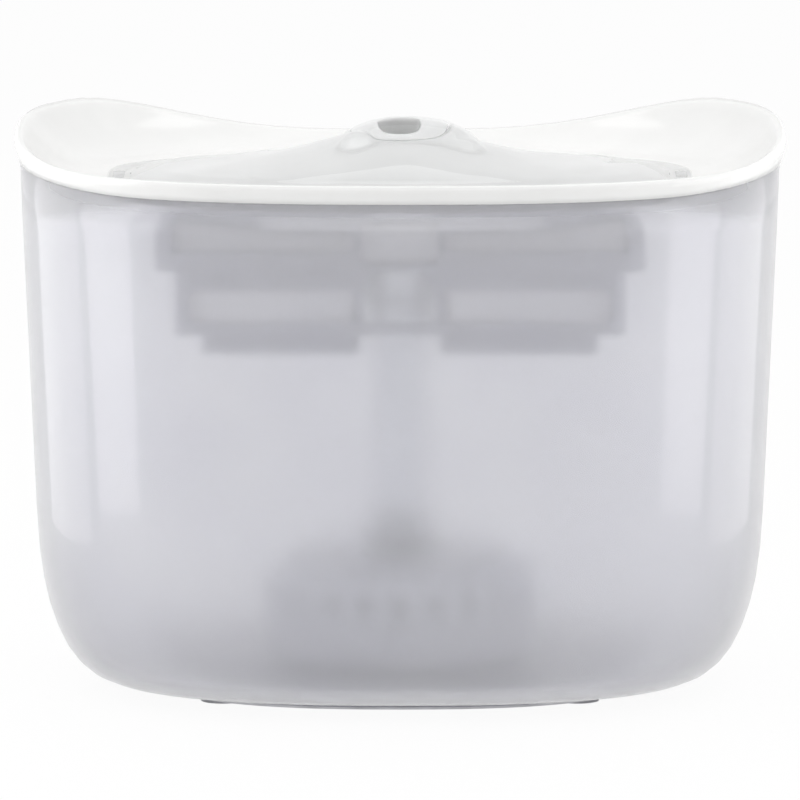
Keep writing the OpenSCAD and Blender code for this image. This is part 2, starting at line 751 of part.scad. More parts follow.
module upper_bush() {
    color("black")
    difference() {
        translate([0, 0, upper_bush_z]) cylinder(r = bush_r, h = bush_h);
        translate([0, 0, upper_bush_z - cut]) cylinder(r = shaft_r + run_gap, h = bush_h + cut - bush_floor);
    }
}

module rotor_shaft() {
    color("ivory")
    translate([0, 0, shaft_low]) cylinder(r = shaft_r, h = shaft_top - shaft_low);
}

module rotor_magnet() {
    color("darkslategray")
    difference() {
        translate([0, 0, magnet_z]) cylinder(r = magnet_r, h = magnet_h);
        translate([0, 0, magnet_z - cut]) cylinder(r = hub_out + run_gap, h = magnet_h + 2 * cut);
    }
}

module impeller() {
    color("white")
    difference() {
        union() {
            translate([0, 0, magnet_z]) cylinder(r = hub_out, h = disc_z - magnet_z + disc_t);
            translate([0, 0, disc_z]) cylinder(r = impeller_d / 2, h = disc_t);
            translate([0, 0, disc_z]) cylinder(r = vane_boss_r, h = disc_t + vane_h);
            for (k = [0 : vanes - 1])
                rotate(k * 360 / vanes)
                    translate([vane_boss_r - cut / 2, -vane_t / 2, disc_z + disc_t / 2])
                        cube([impeller_d / 2 - vane_boss_r, vane_t, vane_h + disc_t / 2]);
        }
        translate([0, 0, magnet_z - cut]) cylinder(r = shaft_r + run_gap, h = ceiling_z);
    }
}

sponge_out = pump_r - pump_wall - seat_gap;
sponge_in = chamber_r + pump_wall + seat_gap;

module prefilter_sponge() {
    color("darkgray")
    difference() {
        translate([0, 0, cover_z]) cylinder(r = sponge_out, h = cover_h - dome_round + chamfer);
        translate([0, 0, cover_z - cut]) cylinder(r = sponge_in, h = cover_h + cut);
    }
}

module pump_bumpers() {
    color("black")
    for (k = [0 : bumpers - 1])
        rotate((k + 0.5) * 360 / bumpers) translate([pump_r - pump_wall / 2, 0, floor_z + seat_gap])
            cylinder(r = bumper_r, h = bumper_h);
}

// Drive base
puck_wall = 1.6;
puck_roof = 1.5;
plate_opening_r = puck_r - puck_wall;
dish_r = plate_opening_r - 2 * run_gap;
dish_in_r = dish_r - sheet_t;
dish_up = 1.3;
dish_z = sheet_z + dish_up;
screws = 4;
screw_turn = 45;
screw_boss_r = 2.6;
screw_ring = plate_opening_r - 1.5 * screw_boss_r;
screw_r = 1;
screw_head_r = 2.2;
screw_head_h = 1.1;
screw_l = 7;
screw_hole_h = screw_l + 2.4;
cross_l = 2.4;
cross_w = 0.5;
cross_h = 0.9;
board_z = dish_z + sheet_t + seat_gap;
board_t = 1.2;
iron_z = board_z + board_t + seat_gap;
iron_t = 1;
iron_in = 4;
coil_z = iron_z + iron_t + seat_gap;
coil_r = 5.9;
coil_in = 2.5;
coil_ring = 12.6;
coil_count = 6;
coil_turn = 30;
coil_h = puck_top - puck_roof - seat_gap - coil_z;
iron_r = coil_ring + coil_r;
plate_side = 1.2;

// The pod at the back, behind the tank's bottom corner, that holds the power inlet
pod_top = 9;
inlet_pod_w = 22;
inlet_pod_wall = 1.2;
pod_clear = 2.2;
inlet_pod_y = tank_hd(pod_top) - corner_in(pod_top) + pod_clear;
inlet_pod_l = 8.6;
pod_corner = 2.4;
inlet_clear = 0.2;
inlet_w = 9;
inlet_h = 3.2;
inlet_z = 4.8;
inlet_shell_t = 0.35;
tongue_w = 6;
tongue_t = 0.7;
inlet_board_w = 14;
inlet_board_t = 1;
neck_w = 18;
ribbon_w = 5;
ribbon_t = 0.4;
ribbon_z = plate_z + 2 * run_gap;
ribbon_y = plate_opening_r + inlet_clear;
ribbon_in = 3.4;
ribbon_end = 3;
channel_x = ribbon_w + 1.4;
channel_h = ribbon_t + seat_gap;
channel_up = 4.4;
channel_in = 2;

// Bar with round sides that runs along +Y
module flat_oval(w, h, l) {
    for (x = [-1, 1]) translate([x * (w - h) / 2, 0, 0]) rotate([-90, 0, 0]) cylinder(d = h, h = l);
    translate([-(w - h) / 2, 0, -h / 2]) cube([w - h, l, h]);
}

module at_screws() {
    for (k = [0 : screws - 1])
        rotate(screw_turn + k * 360 / screws) translate([screw_ring, 0, 0]) children();
}

module plan_plate(w, d, h) {
    linear_extrude(h)
        polygon([for (i = [0 : ring_sides - 1])
            let (p = ring_point(ring(w / 2, d / 2, plan_power, 0), i)) [p[0], p[1]]]);
}

module base_cover() {
    pod_in_w = inlet_pod_w - 2 * inlet_pod_wall;
    color("gray")
    difference() {
        union() {
            translate([0, 0, plate_z]) plan_plate(plate_w, plate_d, plate_t);
            translate([0, 0, plate_z]) cylinder(r = puck_r, h = puck_top - plate_z);
            translate([-neck_w / 2, 0, plate_z]) cube([neck_w, inlet_pod_y + 1, plate_t]);
            translate([0, inlet_pod_y + inlet_pod_l / 2, plate_z])
                rounded_block(inlet_pod_w, inlet_pod_l, pod_top - plate_z, pod_corner);
        }
        difference() {
            translate([0, 0, plate_z - cut])
                cylinder(r = plate_opening_r, h = puck_top - puck_roof - plate_z + cut);
            at_screws() translate([0, 0, dish_z + sheet_t]) cylinder(r = screw_boss_r, h = puck_h);
        }
        at_screws() translate([0, 0, plate_z - cut]) cylinder(r = screw_r + run_gap, h = screw_hole_h);
        translate([-pod_in_w / 2, inlet_pod_y + inlet_pod_wall, plate_z - cut])
            cube([pod_in_w, inlet_pod_l - 2 * inlet_pod_wall, pod_top - inlet_pod_wall - plate_z + cut]);
        translate([0, inlet_pod_y + inlet_pod_l - 2 * inlet_pod_wall, inlet_z])
            flat_oval(inlet_w + 2 * inlet_clear, inlet_h + 2 * inlet_clear, 3 * inlet_pod_wall);
        translate([-channel_x / 2, plate_opening_r - cut, plate_z - cut])
            cube([channel_x, inlet_pod_y + 2 * inlet_pod_wall - plate_opening_r, channel_h + cut]);
        translate([-channel_x / 2, plate_opening_r - channel_in, plate_z - cut])
            cube([channel_x, channel_in + ribbon_t + 3 * inlet_clear, channel_up + cut]);
    }
}

module base_bottom() {
    sheet_neck_w = neck_w - 2 * plate_side;
    neck_overlap = 6;
    sheet_neck_y = plate_d / 2 - neck_overlap;
    color("darkgray")
    difference() {
        union() {
            difference() {
                translate([0, 0, sheet_z])
                    plan_plate(plate_w - 2 * plate_side, plate_d - 2 * plate_side, sheet_t);
                translate([0, 0, sheet_z - cut]) cylinder(r = dish_in_r, h = sheet_t + 2 * cut);
            }
            translate([0, 0, sheet_z]) cylinder(r = dish_r, h = dish_z - sheet_z + sheet_t);
            translate([-sheet_neck_w / 2, sheet_neck_y, sheet_z])
                cube([sheet_neck_w, inlet_pod_y + inlet_pod_l - plate_side - sheet_neck_y, sheet_t]);
        }
        translate([0, 0, sheet_z - cut]) cylinder(r = dish_in_r, h = dish_up + cut);
        at_screws() translate([0, 0, sheet_z - cut])
            cylinder(r = screw_r + seat_gap, h = dish_up + sheet_t + 2 * cut);
    }
}

module base_screws() {
    color("silver")
    at_screws() translate([0, 0, dish_z]) difference() {
        union() {
            translate([0, 0, -screw_head_h]) cylinder(r = screw_head_r, h = screw_head_h);
            translate([0, 0, -screw_head_h]) cylinder(r = screw_r, h = screw_l + screw_head_h);
        }
        for (turn = [0, 90])
            rotate(turn) translate([0, 0, -screw_head_h]) cube([cross_l, cross_w, cross_h], center = true);
    }
}

module circuit_board() {
    board_notch = 2.4;
    chip_in = 1.3;
    chip_ring = (iron_r + plate_opening_r - nest_gap) / 2 - chip_in;
    color("darkgreen")
    difference() {
        translate([0, 0, board_z]) cylinder(r = plate_opening_r - nest_gap, h = board_t);
        at_screws() translate([0, 0, board_z - cut])
            cylinder(r = screw_boss_r + seat_gap, h = board_t + 2 * cut);
        translate([0, plate_opening_r, board_z + board_t / 2])
            cube([channel_x, board_notch, 3 * board_t], center = true);
    }
    // Chips as [x, y, [width, depth, height]] in the ring between the back iron and the board's edge
    driver_chip = [3.4, 4.6, 1.4];
    capacitor = [3, 3, 2.2];
    control_chip = [6, 3.4, 1.6];
    capacitor_y = 3.4;
    color("black")
    for (c = [[-chip_ring, 0, driver_chip], [chip_ring, capacitor_y, capacitor],
              [chip_ring, -capacitor_y, capacitor], [0, -chip_ring, control_chip]])
        translate([c[0], c[1], board_z + board_t + c[2][2] / 2]) cube(c[2], center = true);
}

module back_iron() {
    color("dimgray")
    difference() {
        translate([0, 0, iron_z]) cylinder(r = iron_r, h = iron_t);
        translate([0, 0, iron_z - cut]) cylinder(r = iron_in, h = iron_t + 2 * cut);
    }
}

module drive_coils() {
    color("peru")
    for (k = [0 : coil_count - 1])
        rotate(coil_turn + k * 360 / coil_count) translate([coil_ring, 0, coil_z])
            difference() {
                cylinder(r = coil_r, h = coil_h);
                translate([0, 0, -cut]) cylinder(r = coil_in, h = coil_h + 2 * cut);
            }
}

module inlet_socket() {
    back = inlet_pod_y + inlet_pod_l;
    shell_l = inlet_pod_l - inlet_pod_wall - fit_gap;
    board_low = inlet_z - inlet_h / 2 - inlet_board_t;
    board_l = inlet_pod_l - 2 * inlet_pod_wall - 2 * fit_gap;
    color("silver")
    difference() {
        translate([0, back - shell_l, inlet_z]) flat_oval(inlet_w, inlet_h, shell_l);
        translate([0, back - shell_l + cut, inlet_z])
            flat_oval(inlet_w - 2 * inlet_shell_t, inlet_h - 2 * inlet_shell_t, 2 * shell_l);
    }
    color("black")
    translate([-tongue_w / 2, back - shell_l + cut / 2, inlet_z - tongue_t / 2])
        cube([tongue_w, shell_l - 1.5 * cut, tongue_t]);
    color("darkgreen")
    translate([-inlet_board_w / 2, back - shell_l, board_low])
        cube([inlet_board_w, board_l, inlet_board_t]);
}

module inlet_ribbon() {
    tab_z = board_z + board_t + run_gap;
    color("orange")
    union() {
        translate([-ribbon_w / 2, ribbon_y, ribbon_z])
            cube([ribbon_w, inlet_pod_y + inlet_pod_wall + ribbon_end - ribbon_y, ribbon_t]);
        translate([-ribbon_w / 2, ribbon_y, ribbon_z])
            cube([ribbon_w, ribbon_t, tab_z + ribbon_t - ribbon_z]);
        translate([-ribbon_w / 2, ribbon_y - ribbon_in, tab_z])
            cube([ribbon_w, ribbon_in + ribbon_t, ribbon_t]);
    }
}

module rubber_feet() {
    foot_r = 5.5;
    foot_in_x = 17.4;
    foot_in_y = 19;
    foot_x = plate_w / 2 - foot_in_x;
    foot_y = plate_d / 2 - foot_in_y;
    color("gray")
    for (x = [-1, 1], y = [-1, 1])
        translate([x * foot_x, y * foot_y, 0]) cylinder(r = foot_r, h = foot_h);
}

tank();
top_tray();
spout();
spout_seal();
riser_tube();
outlet_gasket();
filter_housing();
cartridge_shell();
cartridge_lid();
felt_pad();
carbon_granules();
resin_granules();
pump_housing();
pump_cover();
impeller();
rotor_magnet();
rotor_shaft();
lower_bush();
upper_bush();
prefilter_sponge();
pump_bumpers();
base_cover();
base_bottom();
drive_coils();
back_iron();
circuit_board();
inlet_socket();
inlet_ribbon();
base_screws();
rubber_feet();
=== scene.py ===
# Pet water fountain: frosted tank, white drinking tray with running water, filter and pump inside.
# Metres. +Z up, -Y is the front, the origin is on the table under the middle of the base.
import json
import math
from collections import namedtuple

import bpy
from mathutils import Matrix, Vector
from mathutils.bvhtree import BVHTree

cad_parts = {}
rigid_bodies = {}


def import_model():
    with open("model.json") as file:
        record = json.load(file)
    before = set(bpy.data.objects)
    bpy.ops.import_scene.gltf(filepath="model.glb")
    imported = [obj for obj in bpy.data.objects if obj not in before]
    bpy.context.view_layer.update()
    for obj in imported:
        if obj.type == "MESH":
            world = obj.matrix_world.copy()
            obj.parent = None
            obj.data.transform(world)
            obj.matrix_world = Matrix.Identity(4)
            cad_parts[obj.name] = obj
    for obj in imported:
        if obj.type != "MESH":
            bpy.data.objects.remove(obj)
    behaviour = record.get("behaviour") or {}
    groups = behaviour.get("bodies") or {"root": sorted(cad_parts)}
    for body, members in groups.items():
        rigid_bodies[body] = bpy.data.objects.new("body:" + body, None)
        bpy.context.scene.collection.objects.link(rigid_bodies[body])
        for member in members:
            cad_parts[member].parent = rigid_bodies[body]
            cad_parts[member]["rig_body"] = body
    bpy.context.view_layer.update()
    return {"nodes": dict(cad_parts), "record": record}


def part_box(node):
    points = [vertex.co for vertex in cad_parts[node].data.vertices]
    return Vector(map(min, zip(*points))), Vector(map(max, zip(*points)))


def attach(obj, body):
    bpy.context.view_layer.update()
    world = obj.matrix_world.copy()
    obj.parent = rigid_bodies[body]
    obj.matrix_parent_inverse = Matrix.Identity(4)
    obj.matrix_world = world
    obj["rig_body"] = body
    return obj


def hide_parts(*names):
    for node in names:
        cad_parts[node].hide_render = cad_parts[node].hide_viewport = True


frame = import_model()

NODES = frame["nodes"]
MM = 0.001


# ---------------------------------------------------------------- colour and nodes
TONE_FROM, TONE_TO = 0.35, 0.65        # the stretch of the noise over which the tone changes
GLOSS_FROM, GLOSS_TO = 0.88, 1.12      # times the roughness, at the two ends of the noise
PLASTIC_IOR = 1.49                     # between polypropylene, acrylic and ABS


def linear(code):
    """sRGB hex colour as linear RGBA."""
    parts = [int(code[i:i + 2], 16) / 255 for i in (1, 3, 5)]
    return [p / 12.92 if p <= 0.04045 else ((p + 0.055) / 1.055) ** 2.4 for p in parts] + [1.0]


def put(tree, kind, settings=None, links=None):
    """Adds a node with its settings, by attribute or socket, and its incoming links."""
    node = tree.nodes.new(kind)
    for key, value in (settings or {}).items():
        if isinstance(key, int) or key in node.inputs:
            node.inputs[key].default_value = value
        else:
            setattr(node, key, value)
    for key, socket in (links or {}).items():
        tree.links.new(socket, node.inputs[key])
    return node


def start(name, settings):
    """A new material, its node tree, its Principled shader, set, and its object coordinates."""
    made = bpy.data.materials.new(name)
    made.use_nodes = True
    tree = made.node_tree
    skin = tree.nodes["Principled BSDF"]
    for key, value in settings.items():
        skin.inputs[key].default_value = value
    where = put(tree, "ShaderNodeTexCoord").outputs["Object"]
    return made, tree, skin, where


def tinted(tree, skin, pattern, dark, light):
    """Base colour that runs from dark to light over the middle of the pattern."""
    ramp = put(tree, "ShaderNodeValToRGB", {}, {"Fac": pattern})
    low, high = ramp.color_ramp.elements
    low.position, low.color = TONE_FROM, linear(dark)
    high.position, high.color = TONE_TO, linear(light)
    tree.links.new(ramp.outputs["Color"], skin.inputs["Base Color"])


def driven(tree, skin, socket, value, low, high, begin=0.0, end=1.0):
    """Takes a socket of the shader from low to high while a value goes from begin to end."""
    spread = put(tree, "ShaderNodeMapRange", {
        "From Min": begin, "From Max": end, "To Min": low, "To Max": high}, {"Value": value})
    tree.links.new(spread.outputs["Result"], skin.inputs[socket])


def grained(tree, skin, pattern, depth):
    """Surface relief of a real depth in metres."""
    relief = put(tree, "ShaderNodeBump", {"Distance": depth}, {"Height": pattern})
    tree.links.new(relief.outputs["Normal"], skin.inputs["Normal"])


def per_mm(size):
    """Texture scale at which one cell is this many millimetres wide."""
    return 1 / (size * MM)


def finished(name, dark, light, rough, grain, depth, patch=18, **extra):
    """A material with a fine relief, slow changes of gloss and a faint change of tone.

    grain is how wide the relief's cells are, depth how deep they are, and patch how wide the
    changes of gloss and tone are, in millimetres. A metal keeps the shader's own IOR.
    """
    settings = {"Roughness": rough, **extra}
    if "Metallic" not in extra:
        settings.setdefault("IOR", PLASTIC_IOR)
    made, tree, skin, where = start(name, settings)
    slow = put(tree, "ShaderNodeTexNoise", {
        "Scale": per_mm(patch), "Detail": 3.0}, {"Vector": where}).outputs["Fac"]
    fine = put(tree, "ShaderNodeTexNoise", {
        "Scale": per_mm(grain), "Detail": 2.0}, {"Vector": where})
    tinted(tree, skin, slow, dark, light)
    driven(tree, skin, "Roughness", slow, rough * GLOSS_FROM, min(1.0, rough * GLOSS_TO))
    grained(tree, skin, fine.outputs["Fac"], depth * MM)
    return made


# ---------------------------------------------------------------- materials
EDGE_ZONE = (122 * MM, 131 * MM)       # heights over which the tank's thickened edge sets in
CLEAR, CLEAR_AT_EDGE = 0.79, 0.7       # how much light the wall lets through
FROST_ZONE = (45 * MM, 90 * MM)        # heights over which the wall gets clearer
FROST_LOW, FROST_HIGH = 0.265, 0.2     # the wall's roughness below and above that
TINT_PATCH = 30                        # how wide the wall's changes of tint are, in mm


# SAN resin, frosted inside and polished outside: it blurs what is behind it under a clear gloss,
# more so low down, and lets less light through at the thickened edge
def frosted_san():
    made, tree, skin, where = start("SAN_frosted_moulded", {
        "IOR": 1.45, "Coat Weight": 0.6, "Coat Roughness": 0.06, "Coat IOR": 1.5})
    slow = put(tree, "ShaderNodeTexNoise", {
        "Scale": per_mm(TINT_PATCH), "Detail": 2.0}, {"Vector": where})
    tinted(tree, skin, slow.outputs["Fac"], "#F5F5FA", "#F8F8FC")
    height = put(tree, "ShaderNodeSeparateXYZ", {}, {0: where}).outputs["Z"]
    driven(tree, skin, "Transmission Weight", height, CLEAR, CLEAR_AT_EDGE, *EDGE_ZONE)
    driven(tree, skin, "Roughness", height, FROST_LOW, FROST_HIGH, *FROST_ZONE)
    return made


# Water, still: clear and colourless, with a smooth surface that bends what lies under it
WATER = start("Water_still_clear", {
    "Roughness": 0.0, "IOR": 1.333, "Transmission Weight": 1.0, "Base Color": linear("#FCFDFE")})[0]

# The grain of a moulding tool is finer than this. It is drawn this coarse so that it shows.
MATERIALS = {
    "frosted_shell": frosted_san(),
    # ABS moulded in a polished tool: white with a hard, even gloss
    "white_gloss": finished(
        "ABS_white_polished", "#EAEAE9", "#EEEEED", rough=0.1, grain=0.9, depth=0.004, patch=26),
    # polypropylene as it comes: milky white, lets light through
    "clear_white": finished(
        "PP_natural_moulded", "#F2F3F5", "#F7F8FA", rough=0.3, grain=0.8, depth=0.006,
        **{"Transmission Weight": 0.85}),
    # the same, standing in water: it bends the light much less than in air, and hardly shows
    "riser_wet": finished(
        "PP_natural_in_water", "#F6F7F9", "#FAFBFC", rough=0.25, grain=0.8, depth=0.004,
        **{"Transmission Weight": 0.96, "IOR": 1.12}),
    # ABS with a satin tool finish: pale grey with soft highlights
    "filter_frame": finished(
        "ABS_grey_satin", "#BDBDC6", "#C3C3CC", rough=0.45, grain=0.7, depth=0.012),
    # polypropylene with a satin tool finish: whiter than the box round it
    "cartridge_plastic": finished(
        "PP_white_satin", "#F6F6F8", "#F9F9FA", rough=0.42, grain=0.7, depth=0.01),
    # needled polyester: warm white, matted fibres, no gloss
    "felt": finished(
        "PET_needled_felt", "#DDDACE", "#ECE9DF", rough=0.95, grain=0.9, depth=0.35, patch=3),
    # raw carbon: nearly black crumbs
    "carbon": finished(
        "Carbon_granules_raw", "#101012", "#25252A", rough=0.8, grain=1.2, depth=0.6, patch=2),
    # cast resin beads: amber, each with a small highlight
    "resin": finished(
        "Resin_beads_ion_exchange", "#B07A2C", "#D09A48", rough=0.35, grain=0.9, depth=0.5,
        patch=1.5),
    # ABS with a fine satin tool finish: light grey, even
    "pump_plastic": finished(
        "ABS_grey_fine_satin", "#D0D1D8", "#D6D7DE", rough=0.42, grain=0.7, depth=0.014),
    # moulded silicone: dark grey with a soft, dull face
    "silicone": finished(
        "Silicone_moulded", "#4A4A4E", "#525256", rough=0.6, grain=0.8, depth=0.01),
    # ground zirconia: warm white, smooth sheen
    "ceramic": finished(
        "Zirconia_ground", "#EAE7DC", "#F0EDE4", rough=0.2, grain=0.6, depth=0.002),
    # sintered ferrite: dark grey, faintly speckled
    "magnet": finished(
        "Ferrite_sintered", "#222224", "#2E2E31", rough=0.55, grain=0.8, depth=0.02, patch=4),
    # open-cell polyurethane foam: deep pores, no gloss
    "sponge": finished(
        "PU_foam_open_cell", "#BEBFC5", "#D4D5DA", rough=0.95, grain=1.4, depth=0.9, patch=1.6),
    # ABS as it leaves the tool: grey, half matt
    "base_plastic": finished(
        "ABS_grey_moulded", "#B6B6BF", "#BCBCC5", rough=0.45, grain=0.7, depth=0.014),
    # zinc-plated sheet: dull silver with cloudy patches
    "steel_sheet": finished(
        "Steel_zinc_plated_sheet", "#A8A8AC", "#BEBEC2", rough=0.34, grain=2.2, depth=0.004,
        patch=7, Metallic=1.0),
    # wound enamelled wire: warm, glossy ridges
    "copper": finished(
        "Copper_enamelled_wire", "#A5562E", "#C7794A", rough=0.3, grain=0.5, depth=0.12, patch=5,
        Metallic=1.0),
    # nickel-plated iron: darker silver, satin
    "iron": finished(
        "Iron_nickel_plated", "#7C7C80", "#8C8C90", rough=0.4, grain=1.0, depth=0.006, patch=8,
        Metallic=1.0),
    # glass-fibre board under solder mask: dark green, half gloss
    "board": finished(
        "FR4_solder_mask", "#11422A", "#175236", rough=0.35, grain=0.8, depth=0.01, patch=6),
    # nickel-plated steel: bright, smooth silver
    "socket_metal": finished(
        "Steel_nickel_plated", "#BCBCC0", "#CDCDD1", rough=0.25, grain=1.0, depth=0.003, patch=5,
        Metallic=1.0),
    # polyimide film: amber, glossy
    "ribbon": finished(
        "Polyimide_film", "#B5651D", "#C87A2C", rough=0.3, grain=0.9, depth=0.004, patch=6),
    # moulded rubber: pale grey, matt
    "grey_rubber": finished(
        "Rubber_moulded", "#D0D0D4", "#D8D8DC", rough=0.6, grain=0.9, depth=0.02, patch=6),
}


def dress(piece, material):
    """Gives a piece one material all over."""
    piece.data.materials.clear()
    piece.data.materials.append(material)


for part in frame["record"]["subparts"]:
    dress(NODES[part["node"]], MATERIALS[part["material_slot"]])


# ---------------------------------------------------------------- working on meshes
WELD = 0.002 * MM                      # corners nearer than this are one
FLAT = math.radians(0.5)               # faces that turn by less than this are one
SHARP, SHARP_ON_SHELL = 40, 50         # degrees over which an edge stays an edge
BEVEL_SEGMENTS = 2                     # steps across a rounded edge


def alone(piece):
    """Makes a piece the only one selected, and the active one."""
    bpy.ops.object.select_all(action="DESELECT")
    piece.select_set(True)
    bpy.context.view_layer.objects.active = piece


def open_mesh(piece, action):
    """Opens a piece's mesh for editing, with all of it selected or deselected."""
    alone(piece)
    bpy.ops.object.mode_set(mode="EDIT")
    bpy.ops.mesh.select_all(action=action)


def close_mesh():
    """Leaves the editing of a mesh."""
    bpy.ops.object.mode_set(mode="OBJECT")


def copy_of(node, name):
    """A copy of a CAD node's mesh with its loose triangles joined."""
    piece = bpy.data.objects.new(name, NODES[node].data.copy())
    bpy.context.scene.collection.objects.link(piece)
    open_mesh(piece, "SELECT")
    bpy.ops.mesh.remove_doubles(threshold=WELD)
    close_mesh()
    return piece


def smooth(piece, angle):
    """Smooth shading, with sharp edges where faces turn by more than an angle in degrees."""
    alone(piece)
    bpy.ops.object.shade_smooth_by_angle(angle=math.radians(angle))


def round_edges(piece, width, angle):
    """Rounds the edges where faces turn by more than an angle in degrees."""
    alone(piece)
    bevel = piece.modifiers.new("Bevel", "BEVEL")
    bevel.width = width
    bevel.segments = BEVEL_SEGMENTS
    bevel.limit_method = "ANGLE"
    bevel.angle_limit = math.radians(angle)
    bevel.harden_normals = True
    bpy.ops.object.modifier_apply(modifier=bevel.name)


def softened(node, name, slot, width=0.0, angle=SHARP, finish=None):
    """Stands for a CAD node: its mesh with smooth curved walls and, if a width in mm is given,
    with joined flat faces and rounded edges. It wears the finish, or else its slot's material."""
    piece = copy_of(node, name)
    if width:
        open_mesh(piece, "SELECT")
        bpy.ops.mesh.dissolve_limited(angle_limit=FLAT)
        close_mesh()
    smooth(piece, angle)
    if width:
        round_edges(piece, width * MM, angle)
    dress(piece, MATERIALS[finish or slot])
    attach(piece, NODES[node]["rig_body"])
    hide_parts(node)
    return piece


# ---------------------------------------------------------------- shells, boxes and tubes
RIM_ZONE = 95 * MM                     # above this, the tank and the tray are their rims
RIM_OUT, RIM_UP = 0.4 * MM, 0.6 * MM   # how far the two sides of the tank's chamfer move
LIP_OUT, LIP_DOWN = 0.15 * MM, 0.3 * MM     # how far the lower corner of the tray's lip moves
SLANT, STEEP_SLANT, LEVEL = 0.3, 0.6, 0.8   # how far up or down a face looks, out of 1


def outward(face):
    """How far a face looks away from the part's axis, from -1 to 1."""
    return face.normal.xy.dot(face.center.xy.normalized())


def corners(faces):
    """The points of some faces."""
    return {index for face in faces for index in face.vertices}


def close_rim(tank, tray):
    """Brings the tank's edge up against the tray that rests on it.

    The edge's chamfer gets finer, and the tray's lip above it lower and fuller.
    """
    high = [f for f in tank.data.polygons if f.center.z > RIM_ZONE]
    flat = corners(f for f in high if f.normal.z > LEVEL)
    for index in corners(f for f in high if SLANT < f.normal.z <= LEVEL and outward(f) > 0):
        place = tank.data.vertices[index].co
        if index in flat:
            place.xy += RIM_OUT * place.xy.normalized()
        else:
            place.z += RIM_UP
    low = [f for f in tray.data.polygons if f.center.z > RIM_ZONE]
    seat = corners(f for f in low if f.normal.z < -LEVEL)
    band = corners(f for f in low if -STEEP_SLANT < f.normal.z < -SLANT and outward(f) > 0)
    for index in seat & band:
        place = tray.data.vertices[index].co
        place.xy += LIP_OUT * place.xy.normalized()
        place.z -= LIP_DOWN


tank_shell = softened("tank", "tank_shell", "frosted_shell", angle=SHARP_ON_SHELL)
tray_shell = softened("top_tray", "tray_shell", "white_gloss", angle=SHARP_ON_SHELL)
close_rim(tank_shell, tray_shell)
nozzle = softened("spout", "nozzle", "clear_white", width=0.3, finish="white_gloss")
softened("riser_tube", "riser_pipe", "clear_white", width=0.25, finish="riser_wet")
for node, name, slot, width in (
        ("filter_housing", "filter_box", "filter_frame", 0.35),
        ("cartridge_shell", "cartridge_body", "cartridge_plastic", 0.3),
        ("cartridge_lid", "cartridge_cap", "cartridge_plastic", 0.3),
        ("pump_housing", "pump_body", "pump_plastic", 0.35),
        ("pump_cover", "pump_cap", "pump_plastic", 0.35),
        ("base_cover", "base_top", "base_plastic", 0.3),
        ("base_bottom", "base_plate", "steel_sheet", 0.15)):
    softened(node, name, slot, width)


# ---------------------------------------------------------------- running water
SPOUT_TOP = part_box("spout")[1][2]
OUTLET_REACH = 4.7 * MM                # the water's mesh is over the outlet up to here
PLUG = 9 * MM                          # how far the water is shown down the outlet
BASIN_FLOOR = 129.0 * MM               # the water reaches no deeper than this round the table
WATER_LEVEL = 129.7 * MM               # in the channel round the table, over the drains
FILM = 0.5 * MM                        # over the table and the mound
UNDERSIDE = 0.05 * MM                  # how far the water reaches into what it lies on
SKY = 0.2                              # height from which the tray is felt for

# The table is an oval that is squarer than an ellipse. The water reaches a little beyond it.
TABLE_HALF_WIDTH, TABLE_HALF_DEPTH = 69 * MM, 38 * MM
WATER_EDGE, WATER_HALF_DEPTH = 73 * MM, 45 * MM
ROUND, SQUARER = 2, 0.8                # the power of an ellipse, and what the oval's has more
TURN_IN = 4                            # how suddenly the rings stop getting deeper

# The rings of the water's mesh: closest at the outlet's edge, then fine over the swells
AROUND = 176
FIRST_RINGS = (1, 2.2, 3.4, 4.4, 4.6, 4.78, 5.4)   # mm
STEP, FINE_STEP = 1.0 * MM, 0.8 * MM
FINE_FROM, FINE_TO = 10 * MM, 24 * MM

# Two crossing waves on the running film: radians per millimetre, how far the first one bends, and
# where the second one starts
RIPPLE = 0.07 * MM
CALM = 0.3                             # share of the ripple in the channel
FIRST_ACROSS, BEND, BEND_ALONG = 0.31, 0.9, 0.17
SECOND_ALONG, SECOND_ACROSS, START = 0.23, 0.21, 1.3

# Swells of the welling water in mm: centre, reach to each side, foot and top, and how square each
# is across and along
Swell = namedtuple("Swell", "x y left right front back foot top across along")
SWELLS = (
    Swell(x=1.5, y=-2, left=17.8, right=19, front=12.5, back=14, foot=135.6, top=144.2,
          across=2.1, along=3.6),
    Swell(x=-10.8, y=-11.5, left=5.6, right=6.5, front=5.5, back=8, foot=134.2, top=141.9,
          across=2.4, along=2.4),
    Swell(x=13.5, y=-9, left=8, right=8.5, front=6.5, back=8, foot=134.8, top=140.4,
          across=2.4, along=2.6),
    Swell(x=4, y=-13, left=8, right=8, front=4.5, back=5, foot=134.8, top=138.6,
          across=2.2, along=2.2))
BLEND = 0.22 * MM                      # rounding where two swells meet
SOFTENING, SOFTENING_ROUNDS = 0.5, 2   # how much each round evens out the water's heights


def swelled(x, y, film):
    """Height of the water: the film, or the swells over the outlet, with soft creases between."""
    heights = [film]
    for s in SWELLS:
        dx, dy = x / MM - s.x, y / MM - s.y
        away = (abs(dx / (s.left if dx < 0 else s.right)) ** s.across
                + abs(dy / (s.front if dy < 0 else s.back)) ** s.along)
        if away < 1:
            heights.append((s.foot + (s.top - s.foot) * (1 - away) ** 0.5) * MM)
    highest = max(heights)
    return highest + BLEND * math.log(sum(math.exp((h - highest) / BLEND) for h in heights))


def ripple(x, y):
    """Small standing waves on the running film, in metres."""
    a, b = x / MM, y / MM
    return RIPPLE * (math.sin(FIRST_ACROSS * a + BEND * math.sin(BEND_ALONG * b))
                     + math.sin(SECOND_ALONG * b - SECOND_ACROSS * a + START))


def on_table(x, y):
    """Whether a place is inside the table's oval."""
    power = ROUND + SQUARER
    return abs(x / TABLE_HALF_WIDTH) ** power + abs(y / TABLE_HALF_DEPTH) ** power < 1


